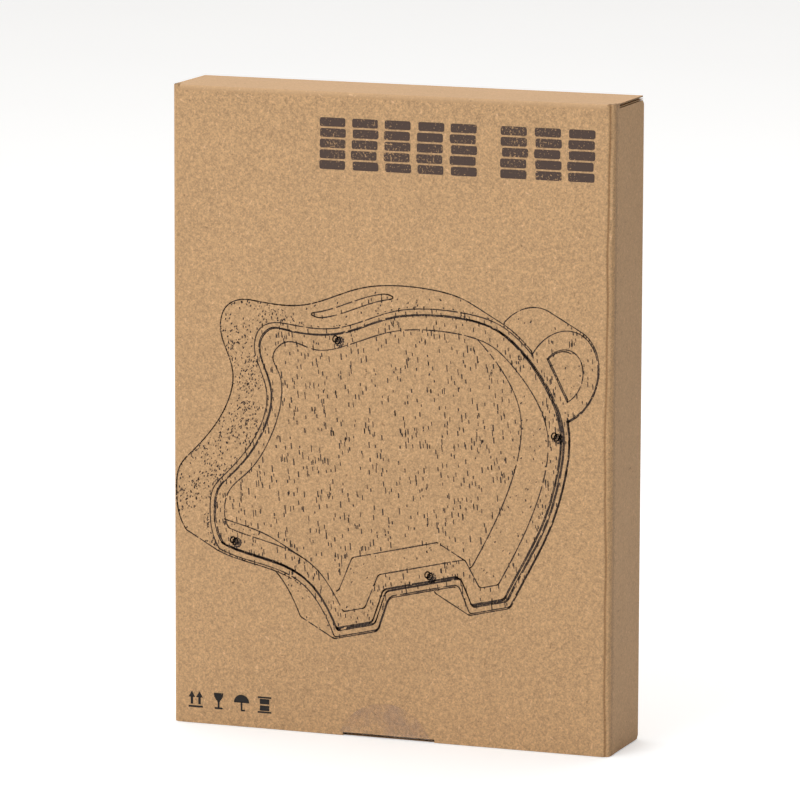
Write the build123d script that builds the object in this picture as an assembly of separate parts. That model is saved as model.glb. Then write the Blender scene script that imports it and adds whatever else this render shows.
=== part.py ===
from build123d import *
import math
import os

# A wooden pig money box packed on end in a hinged-lid corrugated carton.
# Millimetres, +Z up, front of the carton towards -Y.
# The origin is on the floor, under the middle of the carton.

# Carton
CARTON_W = 190.0
CARTON_D = 38.0
CARTON_H = 265.0
BOARD = 1.5               # corrugated board
FOLD_R = 3.0              # outer radius of a folded edge
FOLD_GAP_DEG = 14.0       # part of each side fold left free for the flap to relax
FIT = 0.3                 # air between boards that slide past each other
END_SLIT = 0.5            # slit between the top wall and the side flap under it
TAB_W = 26.0              # glue tabs inside the corners
TAB_CORNER = 8.0          # bevel of a tab's free end
THUMB_W = 40.0            # thumb notch in the lower edge of the lid
THUMB_H = 1.5
LID_FOOT = 0.15           # the lid's lower edge above the floor
SEAL_D = 42.0             # clear wafer seal
SEAL_DROP = 6.3           # centre of the wafer below the floor of the carton
SEAL_T = 0.12

# Money box, drawn standing on its feet: x from the snout, z from the ground
PIG_L = 242.4
PIG_H = 163.6
PIG_D = 31.0
PIG_CLEAR = 6.5           # tail above the bottom of the carton
WALL = 12.0               # wood left around the money pocket
WINDOW_T = 2.5
WINDOW_PLAY = 0.6
BACK_T = 4.0
SLOT_L = 49.0
SLOT_W = 7.5
SLOT_MID = 101.5          # from the snout
TAIL_X = 219.0
TAIL_Z = 109.0
TAIL_R = 23.4
TAIL_HOLE_R = 12.0
TAIL_FLAT = 1.6           # the hole is cut off this far short of its centre
TAIL_TURN = 62.0          # degrees, from the way the back faces to the way the tail points
EDGE_R = 1.2              # rounding of the wooden edges
SCREW_HEAD_D = 5.4
SCREW_HEAD_H = 1.4
SCREW_SHANK_D = 2.8
SCREW_HOLE_D = 3.0
SCREW_L = 12.0
SCREWS = {
    "screw_snout": (17.0, 57.5),
    "screw_neck": (82.3, 147.4),
    "screw_rump": (216.2, 80.0),
    "screw_belly": (138.4, 23.0),
}

half_w = CARTON_W / 2
front = -CARTON_D / 2
back = CARTON_D / 2
inner_front = front + BOARD
inner_back = back - BOARD
wall_out = half_w - BOARD - FIT          # outer face of the tray's side walls
wall_in = wall_out - BOARD
flap_top = CARTON_H - BOARD - END_SLIT   # top of the lid's side flaps
snout_top = PIG_CLEAR + PIG_L            # height of the snout in the carton


def block(x0, x1, y0, y1, z0, z1):
    """A box between two corners."""
    size = (x1 - x0, y1 - y0, z1 - z0)
    centre = ((x0 + x1) / 2, (y0 + y1) / 2, (z0 + z1) / 2)
    return Pos(*centre) * Box(*size)


def turned(x, z):
    """A point of the standing money box, turned head up in the carton."""
    return (z - PIG_H / 2, snout_top - x)


def slab(sketch, y_back, thickness):
    """A flat XZ sketch made solid, from y_back towards the front."""
    return extrude(Pos(0, y_back, 0) * sketch, amount=thickness, dir=(0, -1, 0))


def cylinder_y(x, z, diameter, y_back, length):
    """A round bar along Y, from y_back towards the front."""
    bar = Rot(90, 0, 0) * Cylinder(diameter / 2, length)
    return Pos(x, y_back - length / 2, z) * bar


# ---- Tray -----------------------------------------------------------------

def back_panel():
    return block(-wall_out, wall_out, inner_back, back, 0, CARTON_H)


def end_wall(reach, z):
    """The top or bottom wall, notched at its front corners for the folds of the lid."""
    notched = half_w - FOLD_R
    middle = block(-notched, notched, inner_front + FIT, inner_back, *z)
    return middle + block(-reach, reach, front + FOLD_R, inner_back, *z)


def side_wall(side):
    x = sorted((side * wall_in, side * wall_out))
    return block(*x, front + FOLD_R, inner_back, BOARD, CARTON_H - BOARD)


def corner_tab(side, at_top):
    """A glue tab folded from the top or bottom wall onto a side wall."""
    x = sorted((side * (wall_in - BOARD), side * wall_in))
    z = (CARTON_H - BOARD - TAB_W, CARTON_H - BOARD) if at_top else (BOARD, BOARD + TAB_W)
    tab = block(*x, inner_front + 2 * FIT, inner_back, *z)
    free_end = tab.edges().filter_by(Axis.X).group_by(Axis.Z)[0 if at_top else -1]
    return chamfer(free_end, TAB_CORNER)


# ---- Lid ------------------------------------------------------------------

def fold_corner(side):
    """The rounded side fold of the lid, short of a quarter turn."""
    free = math.radians(FOLD_GAP_DEG)
    centre = (side * (half_w - FOLD_R), front + FOLD_R)
    reach = 3 * FOLD_R
    ring = Circle(FOLD_R) - Circle(FOLD_R - BOARD)
    sector = make_face(Polyline(
        (0, 0),
        (0, -reach),
        (side * reach, -reach),
        (side * reach, -reach * math.tan(free)),
        close=True,
    ))
    return Pos(*centre, 0) * (ring & sector)


def lid_panel():
    """The printed front with its side folds, notched at its lower edge for a thumb."""
    flat = Pos(0, front + BOARD / 2, 0) * Rectangle(CARTON_W - 2 * FOLD_R, BOARD)
    outline = flat + fold_corner(-1) + fold_corner(1)
    panel = extrude(Pos(0, 0, LID_FOOT) * outline, amount=CARTON_H - LID_FOOT)
    notch_half = THUMB_W / 2
    return panel - block(-notch_half, notch_half, front - 1, inner_front + 1, -1, THUMB_H)


def lid_flap(side):
    """A side flap of the lid, outside the tray's side wall."""
    x = sorted((side * (half_w - BOARD), side * half_w))
    flap = block(*x, front + FOLD_R, back - FIT, FIT, flap_top)
    corners = flap.edges().filter_by(Axis.X).group_by(Axis.Y)[-1]
    return chamfer(corners, BOARD)


def wafer_seal():
    """The clear wafer, as far as it is stuck to the lid."""
    radius = SEAL_D / 2
    low = THUMB_H
    disc = Pos(0, -SEAL_DROP) * Circle(radius)
    upper = disc & Pos(0, low + radius) * Rectangle(SEAL_D, SEAL_D)
    return extrude(Plane.XZ.offset(-front) * upper, amount=SEAL_T, dir=(0, -1, 0))


# ---- Money box ------------------------------------------------------------

# Three outlines, each as: over the back from the chin to the rear foot,
# the feet and belly, and under the chin. The first is the animal's own.
BODY = (
    [
        (6, 54.5), (1.4, 64), (0, 76), (2.6, 87), (9.5, 92.5), (21.6, 101), (31.4, 111.5),
        (36.6, 126), (32.2, 141), (29, 153), (32.5, 161.2), (40, 163.6), (51, 161.6),
        (70, 156.4), (84, 154.8), (115.6, 157.6), (137, 155.8), (161, 150), (182.4, 141),
        (199, 127), (214, 107.6), (224.4, 82), (221.5, 57), (213.5, 37), (199, 15.3), (188, 0),
    ],
    [(188, 0), (162, 0), (155, 15.5), (113.5, 15.5), (106.5, 0), (78, 0)],
    [(78, 0), (71.7, 12.8), (62, 26), (55, 32), (40, 40), (22, 47), (6, 54.5)],
)
# The rabbets that hold the window and the back board.
PANE = (
    [
        (9, 57.5), (5, 65.3), (3.8, 76), (6, 85), (15, 91.6), (28.7, 102.3), (37, 114),
        (40.3, 126), (38, 137), (33.9, 147), (33.6, 155), (39, 159.7), (50, 157.8),
        (67, 153), (84, 151), (115.5, 153.8), (136, 152), (160, 146.5), (180, 138),
        (195.8, 125), (210.5, 106), (220.5, 82), (217.7, 58), (210, 38.5), (196, 18), (186, 4),
    ],
    [(186, 4), (164.6, 4), (157.4, 19.3), (111, 19.3), (104, 4), (80.5, 4)],
    [(80.5, 4), (74.5, 15.5), (64.6, 28.8), (57, 35.2), (42, 43.2), (24, 50.3), (9, 57.5)],
)
# The pocket for the coins.
POCKET = (
    [
        (14.6, 63.8), (12, 74), (14.5, 81.5), (26.5, 89.5), (41, 104.4), (48.6, 124),
        (47, 136), (43.6, 145.5), (48.5, 149.8), (68, 144.6), (86, 142.8), (115, 145.6),
        (147, 141.4), (166, 135.6), (179, 129), (190.5, 118.5), (203, 102.8), (212.4, 81),
        (211.6, 66), (206, 49.5), (197, 33), (182, 12),
    ],
    [(182, 12), (170.6, 12), (161.5, 27.3), (108, 27.3), (99.5, 12), (86, 12)],
    [(86, 12), (79, 23.7), (71, 34), (61, 42.3), (48, 49.5), (31, 56.6), (14.6, 63.8)],
)


def outline(curves, radius, play=0.0):
    """One closed outline, head up, with its corners rounded and shrunk by play."""
    shrink = 1 - 2 * play / PIG_H
    middle = (PIG_L / 2, PIG_H / 2)

    def place(points):
        close_up = [tuple(m + (c - m) * shrink for c, m in zip(p, middle)) for p in points]
        return [turned(*p) for p in close_up]

    over_back, feet, chin = (place(points) for points in curves)
    face = make_face([Spline(*over_back), Polyline(*feet), Spline(*chin)])
    corners = [
        v for v in face.vertices()
        if any(math.hypot(v.X - x, v.Y - y) < 0.5 for x, y in feet + [chin[-1]])
    ]
    return fillet(corners, radius)


def tail_ring():
    """The round tail, and the part of its hole that clears the rump."""
    place = Pos(*turned(TAIL_X, TAIL_Z))
    clear = Pos(TAIL_HOLE_R - TAIL_FLAT, 0) * Rectangle(2 * TAIL_HOLE_R, 2 * TAIL_HOLE_R)
    hole = Circle(TAIL_HOLE_R) & Rot(0, 0, -TAIL_TURN) * clear
    return place * Circle(TAIL_R), place * hole


def upright(sketch):
    """An XY sketch stood up in the XZ plane."""
    return Plane.XZ * sketch


def pig_body():
    disc, hole = tail_ring()
    body = slab(upright(outline(BODY, 3.5) + disc - hole), PIG_D / 2, PIG_D)
    rims = [edge for face in body.faces().filter_by(Axis.Y) for edge in face.edges()]
    body = fillet(rims, EDGE_R)
    recess = upright(outline(PANE, 3.0))
    pocket = upright(outline(POCKET, 2.5))
    body -= slab(recess, -PIG_D / 2 + WINDOW_T, WINDOW_T + 1)
    body -= slab(recess, PIG_D / 2 + 1, BACK_T + 1)
    body -= slab(pocket, PIG_D / 2 + 1, PIG_D + 2)
    slot_x, slot_z = turned(SLOT_MID, PIG_H)
    slot = Plane.YZ * SlotOverall(SLOT_L, SLOT_W, rotation=90)
    body -= Pos(slot_x - 2 * WALL, 0, slot_z) * extrude(slot, amount=2.5 * WALL)
    for x, z in SCREWS.values():
        sx, sz = turned(x, z)
        body -= cylinder_y(sx, sz, SCREW_HOLE_D, -PIG_D / 2 + SCREW_L + 1, SCREW_L + 1)
    return body


def window():
    pane = slab(upright(outline(PANE, 3.0, WINDOW_PLAY)), -PIG_D / 2 + WINDOW_T, WINDOW_T)
    for x, z in SCREWS.values():
        sx, sz = turned(x, z)
        pane -= cylinder_y(sx, sz, SCREW_HOLE_D, -PIG_D / 2 + WINDOW_T + 1, WINDOW_T + 2)
    return pane


def back_board():
    return slab(upright(outline(PANE, 3.0, WINDOW_PLAY)), PIG_D / 2, BACK_T)


def screw(x, z):
    sx, sz = turned(x, z)
    face = -PIG_D / 2
    head = cylinder_y(sx, sz, SCREW_HEAD_D, face, SCREW_HEAD_H)
    head = fillet(head.edges().group_by(Axis.Y)[0], SCREW_HEAD_H * 0.6)
    arm = SCREW_HEAD_D * 0.62
    cross = Box(arm, 1.4, 0.8) + Box(0.8, 1.4, arm)
    head -= Pos(sx, face - SCREW_HEAD_H, sz) * cross
    length = SCREW_L
    shank = cylinder_y(sx, sz, SCREW_SHANK_D, face + length, length)
    return head + shank


parts = {
    "back_panel": back_panel(),
    "top_wall": end_wall(half_w, (CARTON_H - BOARD, CARTON_H)),
    "bottom_wall": end_wall(wall_out, (0, BOARD)),
    "left_wall": side_wall(-1),
    "right_wall": side_wall(1),
    "top_left_tab": corner_tab(-1, True),
    "top_right_tab": corner_tab(1, True),
    "bottom_left_tab": corner_tab(-1, False),
    "bottom_right_tab": corner_tab(1, False),
    "lid_panel": lid_panel(),
    "left_lid_flap": lid_flap(-1),
    "right_lid_flap": lid_flap(1),
    "wafer_seal": wafer_seal(),
    "pig_body": pig_body(),
    "back_board": back_board(),
    "window": window(),
}
for name, (x, z) in SCREWS.items():
    parts[name] = screw(x, z)

os.makedirs("parts", exist_ok=True)
for name, shape in parts.items():
    shape.label = name
    export_step(shape, f"parts/{name}.step")
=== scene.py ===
# %% [markdown]
# # A wooden money box in its carton
# The real thing is a flat carton of brown corrugated board, stood on end, with a wooden pig money box
# packed head up inside it. The front of the carton is the lid, hinged along its top edge.
# The CAD model holds every size and every joint. Here each board gets its liners and its fluting,
# the folds get their rounding, the lid gets its printing, and every finish gets a material.
# Everything is in metres, +Z up, with the printed front towards -Y.

# %% Load the frame
import math
import random

import bmesh
import bpy
from mathutils import Matrix, Vector
from mathutils import noise as value_noise
from mathutils.bvhtree import BVHTree


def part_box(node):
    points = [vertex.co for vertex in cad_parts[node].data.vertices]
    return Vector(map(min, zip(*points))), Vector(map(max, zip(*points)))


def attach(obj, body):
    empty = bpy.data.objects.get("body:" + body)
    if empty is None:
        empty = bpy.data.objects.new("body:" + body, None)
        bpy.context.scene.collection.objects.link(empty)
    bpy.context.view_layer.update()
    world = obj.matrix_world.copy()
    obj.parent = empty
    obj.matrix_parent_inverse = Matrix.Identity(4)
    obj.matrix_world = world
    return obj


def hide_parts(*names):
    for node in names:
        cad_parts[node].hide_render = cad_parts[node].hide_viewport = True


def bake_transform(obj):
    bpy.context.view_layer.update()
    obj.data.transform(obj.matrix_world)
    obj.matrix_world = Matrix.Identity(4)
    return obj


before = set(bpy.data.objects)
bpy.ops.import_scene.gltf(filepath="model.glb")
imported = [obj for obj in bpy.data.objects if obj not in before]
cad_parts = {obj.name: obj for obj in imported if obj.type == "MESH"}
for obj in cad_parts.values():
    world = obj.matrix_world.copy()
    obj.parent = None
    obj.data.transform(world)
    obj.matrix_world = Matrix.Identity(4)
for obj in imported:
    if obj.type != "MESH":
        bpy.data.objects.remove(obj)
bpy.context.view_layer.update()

MM = 0.001

# %% [markdown]
# ## Places
# Every place is worked out from the frame, so a change of size in the CAD model carries through.
# The lid gives the outside of the carton, and the back panel gives the thickness of the board.

# %% Places from the frame
lid_low, lid_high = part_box("lid_panel")
back_low, back_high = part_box("back_panel")
flap_low, flap_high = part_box("right_lid_flap")
roof_low, roof_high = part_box("top_wall")
wall_low, wall_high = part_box("right_wall")
tab_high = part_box("top_right_tab")[1]
pig_low, pig_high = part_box("pig_body")

FRONT = lid_low.y
BACK = back_high.y
TOP = lid_high.z
HALF = lid_high.x
LID_FOOT = lid_low.z
BOARD = back_high.y - back_low.y
FOLD_R = flap_low.y - FRONT
FOLD_X = HALF - FOLD_R
print("board", round(BOARD / MM, 2), "mm, fold radius", round(FOLD_R / MM, 2), "mm")

# %% [markdown]
# ## Camera, floor and light
# A long lens from the right and a little above, as in a catalogue. The floor is plain and pale.
# A cool soft light hangs close above the front and a second one overhead. The surroundings are
# bright on the left and dark on the right, so that the front darkens a little from top to bottom
# and the right side is darker than the front.

# %% Camera
camera_data = bpy.data.cameras.new("camera")
camera_data.lens = 281.5
camera_data.sensor_width = 36
camera = bpy.data.objects.new("camera", camera_data)
camera.location = (0.8767, -2.3584, 0.5619)
camera.rotation_euler = (math.radians(80.429), math.radians(-0.183), math.radians(20.475))
bpy.context.scene.collection.objects.link(camera)
bpy.context.scene.camera = camera
bpy.context.scene.view_settings.view_transform = "Standard"
print("camera", camera_data.lens, "mm lens")

# %% Helpers for materials
def new_material(name):
    """A material with its Principled shader, and a short way to add and link nodes."""
    material = bpy.data.materials.new(name)
    material.use_nodes = True
    tree = material.node_tree
    shader = tree.nodes["Principled BSDF"]
    return material, tree, shader


def add(tree, kind, **settings):
    """A new node with its properties set."""
    node = tree.nodes.new(kind)
    for key, value in settings.items():
        setattr(node, key, value)
    return node


def feed(tree, node, **values):
    """Sets or links the inputs of a node by name. An underscore stands for a space."""
    for key, value in values.items():
        socket = node.inputs[key.replace("_", " ")]
        if isinstance(value, bpy.types.NodeSocket):
            tree.links.new(value, socket)
        else:
            socket.default_value = value
    return node


def maths(tree, operation, first, second=0.0, third=0.0):
    """The result of a Math node."""
    node = add(tree, "ShaderNodeMath", operation=operation)
    for socket, value in zip(node.inputs, (first, second, third)):
        if isinstance(value, bpy.types.NodeSocket):
            tree.links.new(value, socket)
        else:
            socket.default_value = value
    return node.outputs[0]


def blended(tree, factor, first, second, blend_type="MIX"):
    """The result of mixing two colours."""
    node = add(tree, "ShaderNodeMix", data_type="RGBA", blend_type=blend_type)
    for socket, value in zip((node.inputs[0], node.inputs[6], node.inputs[7]), (factor, first, second)):
        if isinstance(value, bpy.types.NodeSocket):
            tree.links.new(value, socket)
        else:
            socket.default_value = value
    return node.outputs[2]


def between(tree, value, low, high, to_low=0.0, to_high=1.0):
    """A value mapped smoothly from one range to another, and held at its ends."""
    node = add(tree, "ShaderNodeMapRange", interpolation_type="SMOOTHSTEP")
    feed(tree, node, Value=value, From_Min=low, From_Max=high, To_Min=to_low, To_Max=to_high)
    return node.outputs[0]


def noise(tree, place, scale, detail=2.0, roughness=0.5, stretch=(1, 1, 1), turn=(0, 0, 0)):
    """A noise pattern, so many per metre, that may be stretched and turned."""
    mapping = add(tree, "ShaderNodeMapping", vector_type="TEXTURE")
    feed(tree, mapping, Vector=place, Rotation=turn, Scale=stretch)
    pattern = add(tree, "ShaderNodeTexNoise")
    feed(tree, pattern, Vector=mapping.outputs[0], Scale=scale, Detail=detail, Roughness=roughness)
    return pattern.outputs[0]


def new_group(name, inputs, outputs):
    """A shader node group with named sockets, and its inner input and output nodes."""
    group = bpy.data.node_groups.new(name, "ShaderNodeTree")
    for label, kind, value in inputs:
        socket = group.interface.new_socket(label, in_out="INPUT", socket_type=kind)
        socket.default_value = value
    for label, kind in outputs:
        group.interface.new_socket(label, in_out="OUTPUT", socket_type=kind)
    return group, group.nodes.new("NodeGroupInput"), group.nodes.new("NodeGroupOutput")


def placed_group(tree, group, **values):
    """The group as a node in a material, with its inputs set."""
    node = add(tree, "ShaderNodeGroup", node_tree=group)
    return feed(tree, node, **values)


print("material helpers ready")

# %% Floor and lights
floor_bm = bmesh.new()
bmesh.ops.create_grid(floor_bm, x_segments=8, y_segments=8, size=8)
floor_mesh = bpy.data.meshes.new("floor")
floor_bm.to_mesh(floor_mesh)
floor_bm.free()
floor = bpy.data.objects.new("floor", floor_mesh)
bpy.context.scene.collection.objects.link(floor)

floor_paint, floor_tree, floor_shader = new_material("floor_paint")
floor_place = add(floor_tree, "ShaderNodeTexCoord").outputs["Object"]
floor_cloud = noise(floor_tree, floor_place, 3.0)
floor_tone = blended(floor_tree, floor_cloud, (0.90, 0.90, 0.90, 1), (0.93, 0.93, 0.93, 1))
feed(floor_tree, floor_shader, Base_Color=floor_tone, Roughness=0.8)
feed(floor_tree, floor_shader, Specular_IOR_Level=0.2, Emission_Color=(1, 1, 1, 1))
floor_seen = add(floor_tree, "ShaderNodeLightPath").outputs["Is Camera Ray"]
feed(floor_tree, floor_shader, Emission_Strength=maths(floor_tree, "MULTIPLY", floor_seen, 0.30))
floor_mesh.materials.append(floor_paint)

world = bpy.data.worlds.new("studio")
world.use_nodes = True
sky = world.node_tree
sky_way = add(sky, "ShaderNodeSeparateXYZ")
sky.links.new(add(sky, "ShaderNodeTexCoord").outputs["Generated"], sky_way.inputs[0])
to_the_right = between(sky, sky_way.outputs["X"], -0.1, 0.75)
sky_tone = blended(sky, to_the_right, (1.0, 0.98, 0.95, 1), (0.16, 0.17, 0.18, 1))
feed(sky, sky.nodes["Background"], Color=sky_tone, Strength=0.8)
bpy.context.scene.world = world


def soft_light(name, place, target, size, power, colour=(1, 1, 1)):
    """A square area light that faces a point."""
    data = bpy.data.lights.new(name, "AREA")
    data.shape = "SQUARE"
    data.size = size
    data.energy = power
    data.color = colour
    light = bpy.data.objects.new(name, data)
    light.location = place
    light.rotation_euler = (Vector(target) - Vector(place)).to_track_quat("-Z", "Y").to_euler()
    bpy.context.scene.collection.objects.link(light)


soft_light("key", (-0.35, -1.0, 1.25), (0, 0, 0.24), 0.7, 8, (0.86, 0.94, 1.0))
soft_light("overhead", (0.0, 0.6, 2.2), (0, 0, 0.2), 1.6, 16)
print("floor, surroundings and two soft lights")

# %% [markdown]
# ## Kraft paper
# Kraft board is unbleached pulp: a warm brown with a fine speckle, sparse long fibres, light and dark,
# and a faint washboard where the fluting shows through the liner. All of it is worked out from the
# place on the object, so a pattern runs on unbroken from one board to the next.
# The boards, the folds and the bare patches of the printing all use it, so it is a node group.

# %% The kraft group
FLUTE_PITCH = 3.2 * MM

kraft, kraft_in, kraft_out = new_group(
    "kraft_paper",
    [
        ("Tone", "NodeSocketColor", (0.55, 0.35, 0.185, 1)),
        ("Speckle", "NodeSocketFloat", 1.0),
        ("Washboard", "NodeSocketFloat", 1.0),
    ],
    [("Color", "NodeSocketColor"), ("Height", "NodeSocketFloat"), ("Roughness", "NodeSocketFloat")],
)
place = add(kraft, "ShaderNodeTexCoord").outputs["Object"]
axes = feed(kraft, add(kraft, "ShaderNodeSeparateXYZ"), Vector=place)
fine = noise(kraft, place, 1500, detail=3, roughness=0.65)
grit = noise(kraft, place, 700, detail=1)
cloud = noise(kraft, place, 28, detail=3)
streaks = noise(kraft, place, 90, detail=2, stretch=(1, 1, 14))

# Fibres: noise stretched along three directions, of which only the peaks are kept.
fibre_turns = [(0, 0.45, 0.2), (0.3, -0.95, 0.5), (0.2, 1.75, -0.3)]
light_fibres = 0.0
dark_fibres = 0.0
for turn in fibre_turns:
    thread = noise(kraft, place, 1300, detail=0.5, stretch=(7, 1, 1), turn=turn)
    light_fibres = maths(kraft, "ADD", light_fibres, between(kraft, thread, 0.73, 0.80))
    dark_fibres = maths(kraft, "ADD", dark_fibres, between(kraft, thread, 0.24, 0.17))

# Flecks: a few dark grains of bark, and a few pale ones.
grains = noise(kraft, place, 520, detail=1)
fleck = between(kraft, grains, 0.74, 0.80)
pale_fleck = between(kraft, grains, 0.25, 0.20)

around = maths(kraft, "ADD", axes.outputs["X"], axes.outputs["Y"])
wave = maths(kraft, "SINE", maths(kraft, "MULTIPLY", around, 2 * math.pi / FLUTE_PITCH))
wave_share = maths(kraft, "MULTIPLY", wave, kraft_in.outputs["Washboard"])

level = maths(kraft, "MULTIPLY_ADD", maths(kraft, "SUBTRACT", fine, 0.5), 1.5, 1.0)
level = maths(kraft, "MULTIPLY_ADD", maths(kraft, "SUBTRACT", grit, 0.5), 0.5, level)
level = maths(kraft, "SUBTRACT", level, 1.0)
level = maths(kraft, "MULTIPLY", level, kraft_in.outputs["Speckle"])
level = maths(kraft, "MULTIPLY_ADD", maths(kraft, "SUBTRACT", cloud, 0.5), 0.10, level)
level = maths(kraft, "MULTIPLY_ADD", maths(kraft, "SUBTRACT", streaks, 0.5), 0.05, level)
# The washboard also lightens and darkens the colour a hair with the flutes: painted shade of its ripples,
# besides its bump.
level = maths(kraft, "MULTIPLY_ADD", wave_share, 0.006, level)
level = maths(kraft, "ADD", level, 1.0)
toned = blended(kraft, 1.0, kraft_in.outputs["Tone"], level, "MULTIPLY")
pale = blended(kraft, 1.0, toned, (1.35, 1.42, 1.6, 1), "MULTIPLY")
bark = blended(kraft, 1.0, toned, (0.52, 0.47, 0.42, 1), "MULTIPLY")
toned = blended(kraft, maths(kraft, "MULTIPLY", light_fibres, 0.6), toned, pale)
toned = blended(kraft, maths(kraft, "MULTIPLY", dark_fibres, 0.55), toned, bark)
toned = blended(kraft, maths(kraft, "MULTIPLY", fleck, 0.75), toned, bark)
toned = blended(kraft, maths(kraft, "MULTIPLY", pale_fleck, 0.7), toned, pale)

height = maths(kraft, "MULTIPLY_ADD", fine, 0.4, maths(kraft, "MULTIPLY", light_fibres, 0.25))
height = maths(kraft, "MULTIPLY_ADD", wave_share, 0.35, height)
feed(kraft, kraft_out, Color=toned, Height=height)
kraft.links.new(between(kraft, fine, 0.2, 0.8, 0.66, 0.56), kraft_out.inputs["Roughness"])
print("kraft group with", len(kraft.nodes), "nodes")

# %% Kraft materials
def kraft_material(name, tone, speckle=1.0, washboard=1.0, bump=0.35, crushed_and_shaded=False):
    """Kraft paper in one tone. A fold also reads an attribute from its mesh: painted shade in its dip and
    past its bend, and a painted highlight on its ridge, where the fibres are also rubbed.
    """
    material, tree, shader = new_material(name)
    paper = placed_group(tree, kraft, Tone=tone, Speckle=speckle, Washboard=washboard)
    colour = paper.outputs["Color"]
    if crushed_and_shaded:
        painted_fold_shading = add(tree, "ShaderNodeAttribute", attribute_name="crush_and_painted_shading").outputs["Fac"]
        # Painted shade darkens the dip and the band past the bend; a painted highlight, with some rubbed
        # fibres, lightens the ridge.
        darker = blended(tree, 1.0, colour, (0.62, 0.55, 0.46, 1), "MULTIPLY")
        lighter = blended(tree, 1.0, colour, (1.22, 1.24, 1.3, 1), "MULTIPLY")
        colour = blended(tree, between(tree, painted_fold_shading, 0.0, -1.0), colour, darker)
        colour = blended(tree, between(tree, painted_fold_shading, 0.0, 1.0), colour, lighter)
    relief = feed(tree, add(tree, "ShaderNodeBump"), Strength=bump, Distance=0.05 * MM)
    tree.links.new(paper.outputs["Height"], relief.inputs["Height"])
    feed(tree, shader, Base_Color=colour, Roughness=paper.outputs["Roughness"])
    feed(tree, shader, Normal=relief.outputs["Normal"], Specular_IOR_Level=0.45)
    return material


KRAFT_TONE = (0.56, 0.332, 0.160, 1)
kraft_face = kraft_material("kraft_face", KRAFT_TONE)
kraft_side = kraft_material("kraft_side", KRAFT_TONE, speckle=0.5)
kraft_roof = kraft_material("kraft_roof", KRAFT_TONE, speckle=0.3, washboard=0.0)
# The folds take painted shade and painted highlight from their attribute.
kraft_fold = kraft_material("kraft_fold", KRAFT_TONE, speckle=0.9, crushed_and_shaded=True)
kraft_fluting = kraft_material("kraft_fluting", (0.40, 0.245, 0.125, 1), washboard=0.0)
print("five kraft materials")

# %% [markdown]
# ## Corrugated board
# A corrugated board is three papers: a flat liner on each face and a wavy one glued between them.
# A plain slab would look right from the front only, so each board is built of its real papers, and
# its cut edges show the flutes. A grid makes each paper, the wavy one is displaced by a cosine, and
# Solidify gives them their thickness. A board is built lying down, with its outer face at zero and
# its inside upwards, and is then set in its place by three axes.

# %% Board helpers
PAPER = 0.22 * MM
STEPS_A_WAVE = 8


def flat_papers(u0, u1, v0, v1, flutes="v"):
    """The two liners and the fluting of a flat board, as open sheets. Flutes run along u or v."""
    bm = bmesh.new()
    spread = Matrix.Translation(((u0 + u1) / 2, (v0 + v1) / 2, 0)) @ Matrix.Diagonal((u1 - u0, v1 - v0, 1, 1))
    for level in (PAPER / 2, BOARD - PAPER / 2):
        lift = Matrix.Translation((0, 0, level))
        bmesh.ops.create_grid(bm, x_segments=1, y_segments=1, size=0.5, matrix=lift @ spread)
    liners = set(bm.faces)
    steps = max(2, round((u1 - u0 if flutes == "v" else v1 - v0) / FLUTE_PITCH * STEPS_A_WAVE))
    counts = (steps, 1) if flutes == "v" else (1, steps)
    lift = Matrix.Translation((0, 0, BOARD / 2))
    wavy = bmesh.ops.create_grid(
        bm, x_segments=counts[0], y_segments=counts[1], size=0.5, matrix=lift @ spread
    )
    for vertex in wavy["verts"]:
        across = vertex.co.x if flutes == "v" else vertex.co.y
        vertex.co.z += (BOARD / 2 - PAPER) * math.cos(2 * math.pi * across / FLUTE_PITCH)
    for face in bm.faces:
        face.material_index = 0 if face in liners else 1
    return bm


def fold_edge(bm, side, at, radius, degrees=90, steps=5):
    """Folds on past one edge of the sheets: u0, u1, v0 or v1. The centre of the fold is inside."""
    axis = 0 if side[0] == "u" else 1
    rim = [e for e in bm.edges if all(abs(v.co[axis] - at) < 0.01 * MM for v in e.verts)]
    turn = {"u1": -1, "u0": 1, "v1": 1, "v0": -1}[side] * math.radians(degrees)
    centre = (at, 0, radius) if axis == 0 else (0, at, radius)
    spindle = (0, 1, 0) if axis == 0 else (1, 0, 0)
    bmesh.ops.spin(
        bm, geom=rim + list({v for e in rim for v in e.verts}), cent=centre, axis=spindle,
        angle=turn, steps=steps, dvec=(0, 0, 0), use_duplicate=False,
    )


def trim(bm, point, outwards):
    """Cuts off what lies beyond a plane."""
    everything = list(bm.verts) + list(bm.edges) + list(bm.faces)
    bmesh.ops.bisect_plane(
        bm, geom=everything, plane_co=point, plane_no=outwards, clear_outer=True, dist=1e-7
    )


def thickened(bm, paper=PAPER):
    """The sheets with the thickness of the paper, half of it on each side."""
    mesh = bpy.data.meshes.new("sheets")
    bm.to_mesh(mesh)
    bm.free()
    carrier = bpy.data.objects.new("sheets", mesh)
    bpy.context.scene.collection.objects.link(carrier)
    solidify = carrier.modifiers.new("paper", "SOLIDIFY")
    solidify.thickness = paper
    solidify.offset = 0
    depsgraph = bpy.context.evaluated_depsgraph_get()
    solid = bpy.data.meshes.new_from_object(carrier.evaluated_get(depsgraph))
    bpy.data.objects.remove(carrier)
    out = bmesh.new()
    out.from_mesh(solid)
    return out


def set_in_place(origin, u, v, w):
    """The matrix that sends a board's own three directions to the object's."""
    turn = Matrix((u, v, w)).transposed().to_4x4()
    return Matrix.Translation(origin) @ turn


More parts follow.
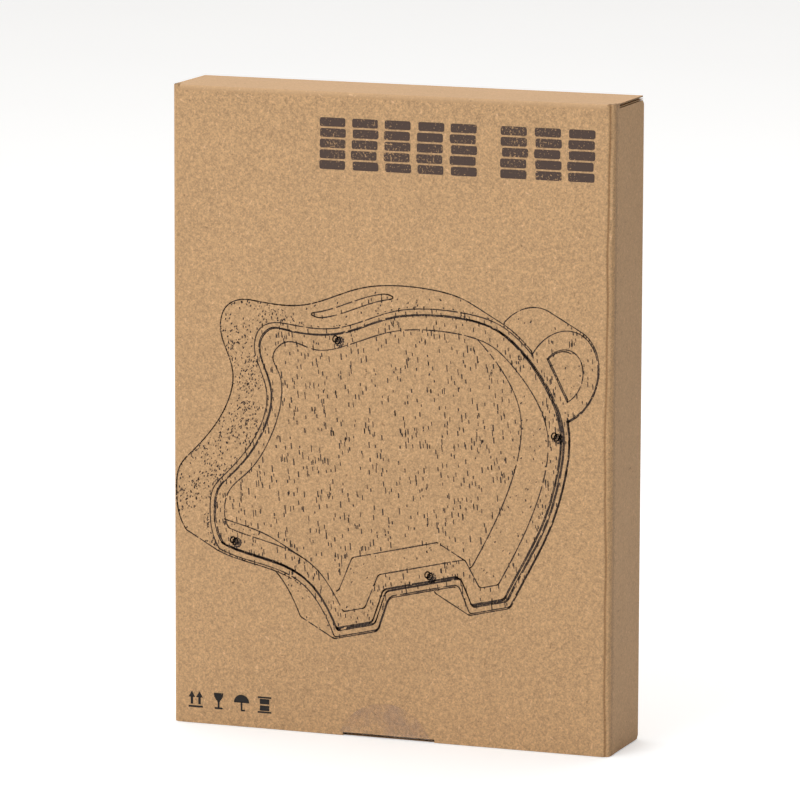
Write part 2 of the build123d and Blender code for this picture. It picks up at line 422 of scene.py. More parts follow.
def piece(name, bm, materials, smooth_deg=30):
    """The finished mesh as an object at the origin, with its normals outwards."""
    bmesh.ops.recalc_face_normals(bm, faces=bm.faces)
    mesh = bpy.data.meshes.new(name)
    bm.to_mesh(mesh)
    bm.free()
    mesh.shade_smooth()
    mesh.set_sharp_from_angle(angle=math.radians(smooth_deg))
    for material in materials:
        mesh.materials.append(material)
    thing = bpy.data.objects.new(name, mesh)
    bpy.context.scene.collection.objects.link(thing)
    return thing


def board(name, bm, place, body, node, face=None):
    """A finished board that takes the place of its CAD node."""
    bm = thickened(bm)
    bm.transform(place)
    thing = piece(name, bm, [face or kraft_face, kraft_fluting])
    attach(thing, body)
    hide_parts(node)
    return thing


X, Y, Z = Vector((1, 0, 0)), Vector((0, 1, 0)), Vector((0, 0, 1))
print("board helpers ready")

# %% [markdown]
# ## The tray
# The back panel, four walls and glue tabs are one die-cut blank on the real carton. Each panel stays
# a piece of its own here, as in the CAD model, and the back panel carries the rounded folds that lead
# into the walls. The corners between two folds are open, as the slits of the blank leave them.

# %% Back panel with its four folds
CREASE_R = 2.0 * MM
wall_out = back_high.x
back_board_sheets = flat_papers(
    -wall_out + CREASE_R, wall_out - CREASE_R, CREASE_R, TOP - CREASE_R
)
fold_edge(back_board_sheets, "u0", -wall_out + CREASE_R, CREASE_R)
fold_edge(back_board_sheets, "u1", wall_out - CREASE_R, CREASE_R)
fold_edge(back_board_sheets, "v0", CREASE_R, CREASE_R)
fold_edge(back_board_sheets, "v1", TOP - CREASE_R, CREASE_R)
back_place = set_in_place((0, BACK, 0), X, Z, -Y)
back_piece = board("tray_back_panel", back_board_sheets, back_place, "tray", "back_panel")
print("back panel:", len(back_piece.data.polygons), "faces")

# %% Cutting a notch
def notched(bm, corner, far_corner):
    """Cuts a rectangle out of the sheets, between two opposite corners in their own directions."""
    for axis, way in ((0, (1, 0, 0)), (1, (0, 1, 0))):
        for at in (corner[axis], far_corner[axis]):
            everything = list(bm.verts) + list(bm.edges) + list(bm.faces)
            bmesh.ops.bisect_plane(
                bm, geom=everything, plane_co=Vector(way) * at, plane_no=way, dist=1e-7
            )
    low = [min(pair) for pair in zip(corner, far_corner)]
    high = [max(pair) for pair in zip(corner, far_corner)]
    inside = []
    for face in bm.faces:
        middle = face.calc_center_median()
        if low[0] < middle.x < high[0] and low[1] < middle.y < high[1]:
            inside.append(face)
    bmesh.ops.delete(bm, geom=inside, context="FACES")


# %% Top wall and bottom wall
AIR = 0.2 * MM
roof_sheets = flat_papers(roof_low.x, roof_high.x, roof_low.y, BACK - CREASE_R)
for side in (-1, 1):
    notched(roof_sheets, (side * FOLD_X, roof_low.y - MM), (side * (HALF + MM), flap_low.y + AIR))
board("tray_top_wall", roof_sheets, set_in_place((0, 0, TOP), X, Y, -Z), "tray", "top_wall", kraft_roof)

base_low, base_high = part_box("bottom_wall")
base_sheets = flat_papers(base_low.x, base_high.x, base_low.y, BACK - CREASE_R)
board("tray_bottom_wall", base_sheets, set_in_place((0, 0, 0), X, Y, Z), "tray", "bottom_wall", kraft_roof)
print("top wall, notched at its front corners, and bottom wall")

# %% Side walls and glue tabs
TAB_CORNER = 8 * MM
for side, word in ((-1, "left"), (1, "right")):
    sheets = flat_papers(wall_low.y, BACK - CREASE_R, wall_low.z, wall_high.z)
    place = set_in_place((side * wall_out, 0, 0), Y, Z, -side * X)
    board(f"tray_{word}_wall", sheets, place, "tray", f"{word}_wall")
    for level, up in (("top", -1), ("bottom", 1)):
        low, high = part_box(f"{level}_{word}_tab")
        sheets = flat_papers(low.y, high.y, low.z, high.z)
        free_end = low.z if up < 0 else high.z
        for edge, outwards in ((low.y, -1), (high.y, 1)):
            on_cut = (edge - outwards * TAB_CORNER, free_end, 0)
            trim(sheets, on_cut, (outwards, up, 0))
        place = set_in_place((side * tab_high.x, 0, 0), Y, Z, -side * X)
        board(f"glue_tab_{level}_{word}", sheets, place, "tray", f"{level}_{word}_tab")
print("two side walls and four glue tabs")

# %% [markdown]
# ## The lid
# The lid is the printed front. Its lower edge is cut straight, with a shallow notch for a thumb, and
# its sides run into folds that lead to the side flaps. Each fold is a separate piece, and the flat
# board stops short of it.

# %% Flat of the lid
SKIN_FRONT = 6 * MM
SKIN_SIDE = 4 * MM
HINGE_R = roof_low.y - FRONT
HINGE_RUN = 0.3 * MM
NOTCH_HALF = 20 * MM
NOTCH_TOP = 1.5 * MM
lid_half = FOLD_X - SKIN_FRONT
lid_top = TOP - HINGE_R - HINGE_RUN
lid_place = set_in_place((0, FRONT, 0), X, Z, Y)
lid_sheets = flat_papers(-lid_half, lid_half, LID_FOOT, lid_top)
notched(lid_sheets, (-NOTCH_HALF, LID_FOOT - MM), (NOTCH_HALF, NOTCH_TOP))
board("lid_front_panel", lid_sheets, lid_place, "lid", "lid_panel")
print("lid", round(2 * lid_half / MM), "mm between its folds")

# %% Side flaps of the lid
for side, word in ((-1, "left"), (1, "right")):
    sheets = flat_papers(flap_low.y + SKIN_SIDE, flap_high.y, flap_low.z, flap_high.z)
    for end, up in ((flap_low.z, -1), (flap_high.z, 1)):
        trim(sheets, (flap_high.y - BOARD, end, 0), (1, up, 0))
    place = set_in_place((side * HALF, 0, 0), Y, Z, -side * X)
    board(f"lid_{word}_flap", sheets, place, f"{word}_flap", f"{word}_lid_flap", kraft_side)
print("two side flaps")

# %% [markdown]
# ## Hinge crease
# Along the top, the board of the tray's roof bends over into the lid. The crease is spun through a
# quarter turn about its own centre.

# %% The crease
hinge_sheets = flat_papers(-FOLD_X, FOLD_X, lid_top, lid_top + HINGE_RUN)
fold_edge(hinge_sheets, "v1", lid_top + HINGE_RUN, HINGE_R, steps=8)
hinge_bm = thickened(hinge_sheets)
hinge_bm.transform(lid_place)
hinge_crease = piece("hinge_crease", hinge_bm, [kraft_roof, kraft_fluting])
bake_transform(hinge_crease)
print("hinge crease", round(2 * FOLD_X / MM), "mm long")

# %% [markdown]
# ## Side folds
# A side fold is scored before it is bent, so its liner is crushed: a narrow dip just before the
# corner, a raised ridge after it, and neither is quite straight. The outer liner is a fine grid
# wrapped round the corner, and each of its points is moved in or out by a formula. The same
# formula is kept as an attribute, which the material reads to paint shade into the dip and past
# the bend, and to paint a highlight on the ridge, where the fibres are also rubbed.

# %% Fold helpers
ARC = FOLD_R * math.pi / 2
SKIN_LENGTH = SKIN_FRONT + ARC + SKIN_SIDE
fold_foot = LID_FOOT


def corner_place(run, inwards, side):
    """The plan position after a run along the outer face, and so far inside it."""
    if run < SKIN_FRONT:
        return Vector((side * (FOLD_X - SKIN_FRONT + run), FRONT + inwards))
    if run > SKIN_FRONT + ARC:
        return Vector((side * (HALF - inwards), FRONT + FOLD_R + run - SKIN_FRONT - ARC))
    bearing = (run - SKIN_FRONT) / FOLD_R
    reach = FOLD_R - inwards
    return Vector((
        side * (FOLD_X + reach * math.sin(bearing)),
        FRONT + FOLD_R - reach * math.cos(bearing),
    ))


def hump(value, middle, width):
    """A smooth hump of height one."""
    return math.exp(-((value - middle) / width) ** 2)


def wander(height, side):
    """How far the crushed line strays at a height, and how strong its ridge is there."""
    t = height / TOP
    stray = 0.35 * math.sin(7.3 * t + side) + 0.22 * math.sin(19 * t + 2) + 0.12 * math.sin(47 * t)
    strength = 0.55 + 0.35 * math.cos(2 * math.pi * (t - 0.9)) + 0.15 * math.sin(31 * t)
    return stray * MM, strength


def crushed_and_shaded(run, height, side):
    """The relief of the outer liner, in metres, and a value for the colour: painted shade in the dip and past
    the bend, and a painted highlight on the rubbed ridge.
    """
    stray, strength = wander(height, side)
    amount = 1.0 if side > 0 else 0.3
    dip = hump(run, SKIN_FRONT + 0.9 * MM + stray, 0.55 * MM)
    ridge = hump(run, SKIN_FRONT + 2.2 * MM + stray, 0.55 * MM) * strength
    # Painted shade: a dark band where the bend turns away from the light.
    painted_fold_shading = hump(run, SKIN_FRONT + 5.4 * MM, 1.7 * MM)
    relief = amount * (0.10 * ridge - 0.24 * dip) * MM
    # The second value paints shade in the dip and the band, and a highlight on the ridge.
    return relief, amount * (1.0 * ridge - 1.0 * dip - 0.5 * painted_fold_shading)


def wrapped(bm, runs, rows, inwards, side, crush_and_shading_layer, relieved=False, wavy=False):
    """Adds one paper of a fold: a grid bent round the corner."""
    made = bmesh.ops.create_grid(bm, x_segments=runs, y_segments=rows, size=0.5)
    for vertex in made["verts"]:
        run = (vertex.co.x + 0.5) * SKIN_LENGTH
        share = vertex.co.y + 0.5
        depth = inwards
        if wavy:
            depth += (BOARD / 2 - PAPER) * math.cos(2 * math.pi * run / FLUTE_PITCH)
        top = lid_top if run <= SKIN_FRONT else TOP
        height = fold_foot + share * (top - fold_foot)
        if relieved:
            relief, crush_and_painted_shading = crushed_and_shaded(run, height, side)
            fade = min(1.0, (SKIN_LENGTH - run) / MM, run / MM)
            depth -= relief * fade
            vertex[crush_and_shading_layer] = crush_and_painted_shading * fade
        x, y = corner_place(run, depth, side)
        vertex.co = (x, y, height)
    return made["verts"]


print("fold skin", round(SKIN_LENGTH / MM, 1), "mm round the corner")

# %% The two side folds
for side, word in ((-1, "left"), (1, "right")):
    bm = bmesh.new()
    # This layer keeps the crush of the liner together with the painted shade and highlight of the fold.
    layer = bm.verts.layers.float.new("crush_and_painted_shading")
    wrapped(bm, 44, 170, PAPER / 2, side, layer, relieved=True)
    wrapped(bm, 14, 1, BOARD - PAPER / 2, side, layer)
    liner_count = len(bm.faces)
    wrapped(bm, 40, 1, BOARD / 2, side, layer, wavy=True)
    bm.faces.ensure_lookup_table()
    for face in bm.faces[liner_count:]:
        face.material_index = 1
    bm = thickened(bm)
    fold = piece(f"{word}_fold", bm, [kraft_fold, kraft_fluting])
    start = (side * (FOLD_X - 2 * MM), FRONT, 0)
    end = (side * HALF, FRONT + FOLD_R + 2 * MM, 0)
    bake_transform(fold)
    print(word, "fold:", len(fold.data.polygons), "faces")

# %% [markdown]
# ## Wafer seal
# A round wafer of clear film holds the lid shut. It sticks to the lid, spans the thumb notch and
# is stuck down under the carton. It is made as a flat disc, cut into strips so that it can bend,
# and wrapped by a formula: down the face, round the edge, across the notch and under the floor.
# It stays on the lid when the carton is opened.

# %% Film material and wafer
film, film_tree, film_shader = new_material("wafer_film")
film_place = add(film_tree, "ShaderNodeTexCoord").outputs["Object"]
film_mist = noise(film_tree, film_place, 900, detail=2)
film_cloud = noise(film_tree, film_place, 120, detail=2)
film_tone = blended(film_tree, film_mist, (0.62, 0.44, 0.34, 1), (0.74, 0.60, 0.51, 1))
film_alpha = between(film_tree, film_cloud, 0.35, 0.7, 0.04, 0.22)
feed(film_tree, film_shader, Base_Color=film_tone, Alpha=film_alpha)
feed(film_tree, film_shader, Roughness=between(film_tree, film_mist, 0.3, 0.7, 0.38, 0.5))
feed(film_tree, film_shader, Coat_Weight=0.15)

WAFER_R = 21 * MM
WAFER_ABOVE = 14.7 * MM
WAFER_ASIDE = -1.6 * MM
FILM = 0.12 * MM
BEND_AT = 2.0 * MM
BEND_R = 1.1 * MM
SPAN_TURN = math.radians(72)


def over_the_edge(run):
    """Where the film lies, across and up, after a run down from the start of its bend."""
    y, z = FRONT - FILM / 2, BEND_AT
    if run <= 0:
        return y, z - run
    turned = min(run / BEND_R, SPAN_TURN)
    y += BEND_R * (1 - math.cos(turned))
    z -= BEND_R * math.sin(turned)
    rest = run - turned * BEND_R
    across = min(rest, (z - FILM / 2) / math.cos(SPAN_TURN))
    y += across * math.sin(SPAN_TURN)
    z -= across * math.cos(SPAN_TURN)
    return y + rest - across, z


wafer_bm = bmesh.new()
bmesh.ops.create_circle(wafer_bm, cap_ends=True, segments=72, radius=WAFER_R)
for step in range(44):
    level = WAFER_R - WAFER_ABOVE + BEND_AT - step * 0.3 * MM
    everything = list(wafer_bm.verts) + list(wafer_bm.edges) + list(wafer_bm.faces)
    bmesh.ops.bisect_plane(wafer_bm, geom=everything, plane_co=(0, level, 0), plane_no=(0, 1, 0), dist=1e-7)
for vertex in wafer_bm.verts:
    run = WAFER_R - WAFER_ABOVE + BEND_AT - vertex.co.y
    y, z = over_the_edge(run)
    vertex.co = (vertex.co.x + WAFER_ASIDE, y, z)
wafer = piece("wafer_film", thickened(wafer_bm, FILM), [film])
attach(wafer, "lid")
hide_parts("wafer_seal")
print("wafer", round(2 * WAFER_R / MM), "mm across")

# %% [markdown]
# ## Printing
# The front is printed in one dark ink that soaks in unevenly, so the paper shows through it in
# specks. Ink is made as thin flat pieces that stand a few hundredths of a millimetre proud, which
# keeps their outlines crisp from any distance. Where there was lettering there are plain signs:
# a row of coin stacks above the drawing, and common handling marks in the lower corner.

# %% Ink material and ink helpers
def ink_material(name, tone, missing):
    """Ink on kraft, with specks of bare paper. Missing is the share of it that didn't take."""
    material, tree, shader = new_material(name)
    paper = placed_group(tree, kraft, Tone=KRAFT_TONE, Speckle=1.0, Washboard=1.0)
    place = add(tree, "ShaderNodeTexCoord").outputs["Object"]
    specks = noise(tree, place, 1100, detail=3, roughness=0.7)
    patch = noise(tree, place, 90, detail=1)
    hole = maths(tree, "MULTIPLY_ADD", maths(tree, "SUBTRACT", patch, 0.5), 0.25, specks)
    bare = between(tree, hole, 0.66 - missing, 0.72 - missing)
    colour = blended(tree, maths(tree, "MULTIPLY", bare, 0.75), tone, paper.outputs["Color"])
    feed(tree, shader, Base_Color=colour, Roughness=between(tree, specks, 0.3, 0.7, 0.55, 0.7))
    feed(tree, shader, Specular_IOR_Level=0.3)
    return material


ink_heading = ink_material("ink_heading", (0.085, 0.052, 0.040, 1), 0.07)
ink_drawing = ink_material("ink_drawing", (0.060, 0.038, 0.028, 1), 0.05)
ink_marks = ink_material("ink_marks", (0.020, 0.016, 0.014, 1), 0.0)

INK = 0.05 * MM
INK_GAP = 0.01 * MM
ink_place = set_in_place((0, FRONT - INK_GAP, 0), X, Z, -Y)


def slab_of_ink(bm, middle, width, height, corner=0.0, turn=0.0):
    """Adds a rectangle of ink, with rounded corners if asked."""
    shape = bmesh.new()
    stretch = Matrix.Diagonal((width, height, 1, 1))
    bmesh.ops.create_grid(shape, x_segments=1, y_segments=1, size=0.5, matrix=stretch)
    if corner:
        bmesh.ops.bevel(
            shape, geom=shape.verts, offset=corner, offset_type="OFFSET", segments=3, profile=0.5,
            affect="VERTICES", material=-1,
        )
    join(bm, shape, middle, turn)


def disc_of_ink(bm, middle, radius, segments=24, turn=0.0, squeeze=(1, 1)):
    """Adds a round or many-sided shape of ink."""
    shape = bmesh.new()
    stretch = Matrix.Diagonal((squeeze[0], squeeze[1], 1, 1))
    bmesh.ops.create_circle(shape, cap_ends=True, segments=segments, radius=radius, matrix=stretch)
    join(bm, shape, middle, turn)


def join(bm, shape, middle, turn=0.0):
    """Moves a small shape to its place and adds it to the print."""
    shape.transform(Matrix.Translation((*middle, 0)) @ Matrix.Rotation(turn, 4, "Z"))
    carrier = bpy.data.meshes.new("shape")
    shape.to_mesh(carrier)
    shape.free()
    bm.from_mesh(carrier)
    bpy.data.meshes.remove(carrier)


def printed(name, bm, material):
    """Gives the ink its thickness and lays it on the lid."""
    for face in bm.faces:
        if face.normal.z < 0:
            face.normal_flip()
    bm.normal_update()
    solid = bmesh.ops.extrude_face_region(bm, geom=bm.faces[:], use_keep_orig=True)
    raised = [v for v in solid["geom"] if isinstance(v, bmesh.types.BMVert)]
    bmesh.ops.translate(bm, verts=raised, vec=(0, 0, INK))
    bm.transform(ink_place)
    thing = piece(name, bm, [material])
    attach(thing, "lid")
    return thing


print("three inks")

# %% Heading: two groups of coin stacks
COIN_W = 12 * MM
COIN_T = 3.6 * MM
COIN_STEP = 4.35 * MM
HEADING_LEFT = -31 * MM
HEADING_FOOT = 233.6 * MM
STACK_STEP = 14.1 * MM
WORD_GAP = 7.5 * MM
coins = random.Random(5)
heading = bmesh.new()
for stack in range(8):
    x = HEADING_LEFT + COIN_W / 2 + stack * STACK_STEP + (WORD_GAP if stack >= 5 else 0)
    for coin in range(5):
        shift = coins.uniform(-0.45, 0.45) * MM
        y = HEADING_FOOT + COIN_T / 2 + coin * COIN_STEP
        slab_of_ink(heading, (x + shift, y), COIN_W - 0.9 * MM, COIN_T, corner=0.8 * MM)
printed("print_heading", heading, ink_heading)
print("heading of", stack + 1, "coin stacks")

# %% Handling marks in the lower corner
MARK_FOOT = 6.5 * MM
MARK_H = 7 * MM
MARK_LEFT = -88.5 * MM
MARK_STEP = 10.2 * MM
marks = bmesh.new()


def mark_centre(index):
    """The middle of a mark."""
    return MARK_LEFT + MARK_H / 2 + index * MARK_STEP


# This way up: two arrows on a bar.
for shift in (-1.7, 1.7):
    x = mark_centre(0) + shift * MM
    disc_of_ink(marks, (x, MARK_FOOT + 5.3 * MM), 1.75 * MM, segments=3)
    slab_of_ink(marks, (x, MARK_FOOT + 3.1 * MM), 1.1 * MM, 3.2 * MM)
slab_of_ink(marks, (mark_centre(0), MARK_FOOT + 0.55 * MM), 6.4 * MM, 0.8 * MM)

# Fragile: a stemmed glass.
x = mark_centre(1)
for step in range(6):
    share = step / 5
    slab_of_ink(
        marks, (x, MARK_FOOT + (6.6 - 3.0 * share) * MM), (4.2 - 2.9 * share ** 2) * MM, 0.66 * MM
    )
slab_of_ink(marks, (x, MARK_FOOT + 2.1 * MM), 0.8 * MM, 2.6 * MM)
slab_of_ink(marks, (x, MARK_FOOT + 0.5 * MM), 3.6 * MM, 0.8 * MM, corner=0.3 * MM)

# Keep dry: an umbrella.
x = mark_centre(2)
dome = bmesh.new()
bmesh.ops.create_circle(dome, cap_ends=True, segments=28, radius=3.4 * MM)
trim(dome, (0, 0, 0), (0, -1, 0))
join(marks, dome, (x, MARK_FOOT + 3.6 * MM))
slab_of_ink(marks, (x, MARK_FOOT + 2.2 * MM), 0.7 * MM, 3.4 * MM)
slab_of_ink(marks, (x + 0.65 * MM, MARK_FOOT + 0.4 * MM), 2.0 * MM, 0.7 * MM, corner=0.3 * MM)

# Stacking: two boxes between bars.
x = mark_centre(3)
for level in (0.4, 6.6):
    slab_of_ink(marks, (x, MARK_FOOT + level * MM), 6.0 * MM, 0.7 * MM)
for level in (2.1, 4.9):
    slab_of_ink(marks, (x, MARK_FOOT + level * MM), 4.2 * MM, 2.2 * MM, corner=0.3 * MM)
printed("print_handling_marks", marks, ink_marks)
print("four handling marks")

# %% [markdown]
# ## The drawing of the money box
# The lid shows a line drawing of what is inside. It isn't drawn by hand here: the CAD model of the
# money box is projected onto the lid. The rims of its faces, its sharp edges and its outline are
# collected, the hidden ones are dropped by casting a ray from each towards the viewer, and what
# is left is laid down as thin lines of ink. The projection is parallel and slanting: the
# animal stands on its feet and is seen from its left front and a little above.

# %% Projection
SNOUT_TOP = pig_high.z
PIG_MIDDLE = 81.8 * MM
PIG_FACE = pig_low.y
ALONG = Vector((0.699, 0.167))
UPWARDS = Vector((-0.008, 0.836))
DEEPER = Vector((-0.468, 0.258))
DRAW_ORIGIN = Vector((-30.1, 38.3)) * MM
DRAW_FROM = 69.5 * MM
to_viewer = Vector((0.441, -1.0, 0.664)).normalized()


def drawn(point):
    """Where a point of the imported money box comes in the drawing."""
    along = SNOUT_TOP - point.z - DRAW_FROM
    return DRAW_ORIGIN + along * ALONG + (point.x + PIG_MIDDLE) * UPWARDS + (point.y - PIG_FACE) * DEEPER


def merged_copy(node):
    """A copy of a CAD node's mesh with its loose triangles joined."""
    bm = bmesh.new()
    bm.from_mesh(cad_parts[node].data)
    bmesh.ops.remove_doubles(bm, verts=bm.verts, dist=1e-6)
    bm.normal_update()
    return bm


shapes = {node: merged_copy(node) for node in ("pig_body", "back_board", "window")}
blockers = [BVHTree.FromBMesh(shapes[node]) for node in ("pig_body", "back_board")]
print("shapes to draw:", {node: len(bm.faces) for node, bm in shapes.items()})

# %% Visible lines
STROKE = 2 * MM
PRINT_HALF = 94.4 * MM
CLEAR = 0.5 * MM


def hidden(point):
    """True if the wood stands between a point and the viewer."""
    start = point + to_viewer * CLEAR
    return any(tree.ray_cast(start, to_viewer)[0] is not None for tree in blockers)


def drawable(edge):
    """True for a rim, a sharp edge or the outline."""
    if len(edge.link_faces) != 2:
        return False
    first, second = (face.normal for face in edge.link_faces)
    flat = [abs(n.y) > 0.999 for n in (first, second)]
    if flat[0] != flat[1]:
        return True
    if first.angle(second, 0.0) > math.radians(30):
        return True
    return first.dot(to_viewer) * second.dot(to_viewer) < 0


strokes = []
for node, bm in shapes.items():
    for edge in bm.edges:
        if not drawable(edge):
            continue
        first, second = (v.co.copy() for v in edge.verts)
        count = max(1, round((second - first).length / STROKE))
        for step in range(count):
            start = first.lerp(second, step / count)
            end = first.lerp(second, (step + 1) / count)
            if hidden((start + end) / 2):
                continue
            ends = drawn(start), drawn(end)
            if min(point.x for point in ends) > -PRINT_HALF:
                strokes.append(ends)
print("visible strokes:", len(strokes))

# %% Lines of ink
LINE_W = 0.46 * MM
hand = random.Random(11)


# One quad is copied to each stroke in a single mesh, which is quicker than joining many.
def quads_of_ink(lines):
    """A mesh with one quad a line: start, end, width."""
    bm = bmesh.new()
    for start, end, width in lines:
        along = end - start
        if along.length < 0.02 * MM:
            continue
        turn = Matrix.Rotation(math.atan2(along.y, along.x), 4, "Z")
        stretch = Matrix.Diagonal((along.length + 0.6 * width, width, 1, 1))
        middle = Matrix.Translation((*((start + end) / 2), 0))
        bmesh.ops.create_grid(bm, x_segments=1, y_segments=1, size=0.5, matrix=middle @ turn @ stretch)
    return bm


lines = []
for start, end in strokes:
    if hand.random() < 0.04:
        continue
    lines.append((start, end, LINE_W * hand.uniform(0.7, 1.25)))
drawing = printed("print_drawing", quads_of_ink(lines), ink_drawing)
print("drawing:", len(drawing.data.polygons), "faces")

# %% [markdown]
# The wood in the drawing is shown by its grain: short upright dashes on the board behind the pocket
# and on the frame round it, and fine dots where the surface turns away. Points are scattered over
# the drawing, and a ray through each one finds what the drawing shows there.

# %% Grain and stipple
INTO = -to_viewer
grain_hand = random.Random(23)
back_tree, body_tree = (BVHTree.FromBMesh(shapes[node]) for node in ("back_board", "pig_body"))


def seen_at(spot):
    """What the drawing shows at a spot: a name, the surface normal and the point."""
    det = ALONG.x * UPWARDS.y - ALONG.y * UPWARDS.x
    away = -60 * MM
    rest = spot - DRAW_ORIGIN - away * DEEPER
    along = (rest.x * UPWARDS.y - rest.y * UPWARDS.x) / det
    height = (ALONG.x * rest.y - ALONG.y * rest.x) / det
    start = Vector((height - PIG_MIDDLE, PIG_FACE + away, SNOUT_TOP - along - DRAW_FROM))
    hits = []
    for word, tree in (("back", back_tree), ("wood", body_tree)):
        point, normal, _, distance = tree.ray_cast(start, INTO)
        if point is not None:
            hits.append((distance, word, normal, point))
    return min(hits, key=lambda hit: hit[0])[1:] if hits else (None, None, None)


dashes = []
dots = []
for _ in range(19000):
    spot = Vector((grain_hand.uniform(-96, 92), grain_hand.uniform(38, 184))) * MM
    word, normal, point = seen_at(spot)
    chance = grain_hand.random()
    if word is None:
        continue
    if spot.x < -PRINT_HALF:
        continue
    lean = Vector((-0.09, 1.0)).normalized()
    clump = value_noise.noise(Vector((spot.x, spot.y, 0)) * 90)
    if word == "back":
        if chance < 0.11 + 0.10 * clump:
            reach = lean * grain_hand.triangular(0.4, 3.0, 1.0) * MM / 2
            dashes.append((spot - reach, spot + reach, grain_hand.uniform(0.3, 0.55) * MM))
    elif normal.y < -0.9:
        if chance < 0.16 + 0.10 * clump:
            reach = lean * grain_hand.triangular(0.4, 2.6, 1.0) * MM / 2
            dashes.append((spot - reach, spot + reach, grain_hand.uniform(0.28, 0.5) * MM))
    else:
        near_head = point.z > SNOUT_TOP - 62 * MM
        share = 0.62 + 1.1 * clump if near_head else 0.07
        if chance < share:
            size = grain_hand.uniform(0.22, 0.66) * MM
            step = Vector((grain_hand.uniform(-0.6, 1), 1)).normalized() * size
            dots.append((spot, spot + step, size * 0.8))
printed("print_grain", quads_of_ink(dashes), ink_drawing)
printed("print_stipple", quads_of_ink(dots), ink_drawing)
print("grain dashes", len(dashes), "and dots", len(dots))

# %% Screw heads in the drawing
screws_print = bmesh.new()
for node in sorted(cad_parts):
    if node.startswith("screw_"):
        low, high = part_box(node)
        head = Vector(((low.x + high.x) / 2, low.y, (low.z + high.z) / 2))
        centre = drawn(head)
        for ring, count in ((0.0, 1), (0.9, 6), (1.8, 12)):
            for turn in range(count):
                bearing = 2 * math.pi * turn / count
                off = ring * MM * Vector((math.cos(bearing), math.sin(bearing)))
                size = grain_hand.uniform(0.36, 0.56) * MM
                disc_of_ink(screws_print, centre + off, size, segments=8)
printed("print_screws", screws_print, ink_drawing)
for bm in shapes.values():
    bm.free()
print("four screw heads drawn")

# %% [markdown]
# ## The money box itself
# The wooden body, its clear window, its back board and its screws keep their CAD meshes, because
# their shapes are already right, and each gets its own finish. The wood is pale and straight
# grained, with short open pores along the grain, which runs upright when the animal stands.
# Packed head up, upright is along X. The back board is plywood with a rotary-cut face.

# %% Wood group and wood materials
wood, wood_in, wood_out = new_group(
    "grained_wood",
    [
        ("Pale", "NodeSocketColor", (0.62, 0.42, 0.24, 1)),
        ("Dark", "NodeSocketColor", (0.42, 0.25, 0.12, 1)),
        ("Pores", "NodeSocketFloat", 1.0),
        ("Figure", "NodeSocketFloat", 1.0),
    ],
    [("Color", "NodeSocketColor"), ("Height", "NodeSocketFloat"), ("Roughness", "NodeSocketFloat")],
)
wood_place = add(wood, "ShaderNodeTexCoord").outputs["Object"]
bands = noise(wood, wood_place, 75, detail=4, roughness=0.6, stretch=(9, 1, 1))
threads = noise(wood, wood_place, 900, detail=3, stretch=(14, 1, 1))
pores = noise(wood, wood_place, 1000, detail=1, stretch=(9, 1, 1))
figure = maths(wood, "MULTIPLY", between(wood, bands, 0.35, 0.68), wood_in.outputs["Figure"])
wood_tone = blended(wood, figure, wood_in.outputs["Pale"], wood_in.outputs["Dark"])
fine_tone = maths(wood, "MULTIPLY_ADD", maths(wood, "SUBTRACT", threads, 0.5), 0.35, 1.0)
wood_tone = blended(wood, 1.0, wood_tone, fine_tone, "MULTIPLY")
pore_mask = maths(wood, "MULTIPLY", between(wood, pores, 0.66, 0.74), wood_in.outputs["Pores"])
pore_tone = blended(wood, 1.0, wood_tone, (0.38, 0.32, 0.28, 1), "MULTIPLY")
wood_tone = blended(wood, maths(wood, "MULTIPLY", pore_mask, 0.8), wood_tone, pore_tone)
wood_height = maths(wood, "SUBTRACT", maths(wood, "MULTIPLY", threads, 0.4), pore_mask)
feed(wood, wood_out, Color=wood_tone, Height=wood_height)
wood.links.new(between(wood, threads, 0.3, 0.7, 0.42, 0.56), wood_out.inputs["Roughness"])


def wood_material(name, pale, dark, pores, figure):
    """Sanded wood with a thin matt lacquer."""
    material, tree, shader = new_material(name)
    grain = placed_group(tree, wood, Pale=pale, Dark=dark, Pores=pores, Figure=figure)
    relief = feed(tree, add(tree, "ShaderNodeBump"), Strength=0.4, Distance=0.12 * MM)
    tree.links.new(grain.outputs["Height"], relief.inputs["Height"])
    feed(tree, shader, Base_Color=grain.outputs["Color"], Roughness=grain.outputs["Roughness"])
    feed(tree, shader, Normal=relief.outputs["Normal"], Coat_Weight=0.08, Coat_Roughness=0.45)
    return material


body_wood = wood_material("body_wood", (0.66, 0.45, 0.26, 1), (0.48, 0.29, 0.145, 1), 1.0, 0.8)
plywood = wood_material("plywood_face", (0.74, 0.55, 0.35, 1), (0.62, 0.42, 0.24, 1), 0.35, 0.6)
print("wood group and two woods")

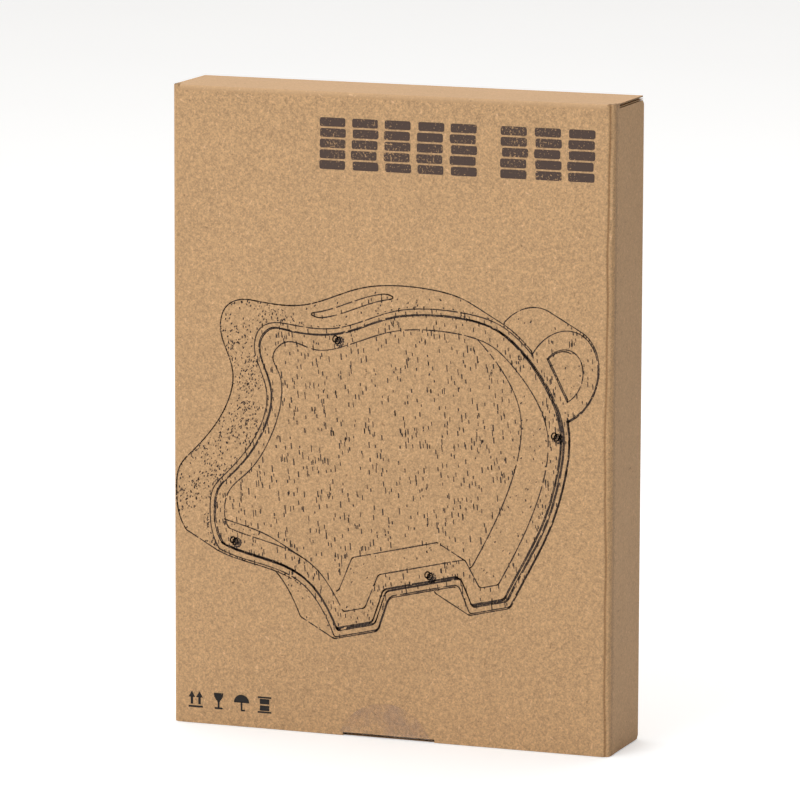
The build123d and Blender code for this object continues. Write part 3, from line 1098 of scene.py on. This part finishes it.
# %% Acrylic and screw steel
acrylic, acrylic_tree, acrylic_shader = new_material("clear_acrylic_sheet")
acrylic_place = add(acrylic_tree, "ShaderNodeTexCoord").outputs["Object"]
smear = noise(acrylic_tree, acrylic_place, 45, detail=4, roughness=0.6)
feed(acrylic_tree, acrylic_shader, Base_Color=(0.94, 0.97, 0.98, 1), IOR=1.49)
feed(acrylic_tree, acrylic_shader, Transmission_Weight=0.96)
feed(acrylic_tree, acrylic_shader, Roughness=between(acrylic_tree, smear, 0.45, 0.75, 0.02, 0.09))

steel, steel_tree, steel_shader = new_material("zinc_plated_steel")
steel_place = add(steel_tree, "ShaderNodeTexCoord").outputs["Object"]
spangle = noise(steel_tree, steel_place, 1800, detail=2)
steel_tone = blended(steel_tree, spangle, (0.50, 0.49, 0.47, 1), (0.70, 0.68, 0.64, 1))
feed(steel_tree, steel_shader, Base_Color=steel_tone, Metallic=1.0)
feed(steel_tree, steel_shader, Roughness=between(steel_tree, spangle, 0.3, 0.7, 0.24, 0.42))


def refinish(node, material):
    """Gives a CAD node a better material."""
    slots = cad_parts[node].data.materials
    slots.clear()
    slots.append(material)


refinish("pig_body", body_wood)
refinish("back_board", plywood)
for node in sorted(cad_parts):
    if node.startswith("screw_"):
        refinish(node, steel)
print("money box refinished")

# %% [markdown]
# The window is remade from a copy of its CAD mesh. Its back is drawn forward by a hair from the
# ledge that it rests on, so that light passes between the two, and its front rim is bevelled.

# %% Window pane
LEDGE_GAP = 0.12 * MM
RIM_BEVEL = 0.35 * MM
pane_low, pane_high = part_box("window")
pane = merged_copy("window")
pane_back = [v for v in pane.verts if abs(v.co.y - pane_high.y) < 0.01 * MM]
bmesh.ops.translate(pane, verts=pane_back, vec=(0, -LEDGE_GAP, 0))
pane.normal_update()
front_rim = []
for edge in pane.edges:
    flat = [abs(face.normal.y) > 0.999 for face in edge.link_faces]
    if len(flat) == 2 and flat[0] != flat[1] and abs(edge.verts[0].co.y - pane_low.y) < 0.01 * MM:
        front_rim.append(edge)
bmesh.ops.bevel(
    pane, geom=front_rim, offset=RIM_BEVEL, offset_type="OFFSET", segments=2, profile=0.5,
    affect="EDGES", material=-1,
)
window_pane = piece("window_pane", pane, [acrylic], smooth_deg=15)
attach(window_pane, "money_box")
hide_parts("window")
print("window pane:", len(window_pane.data.polygons), "faces")
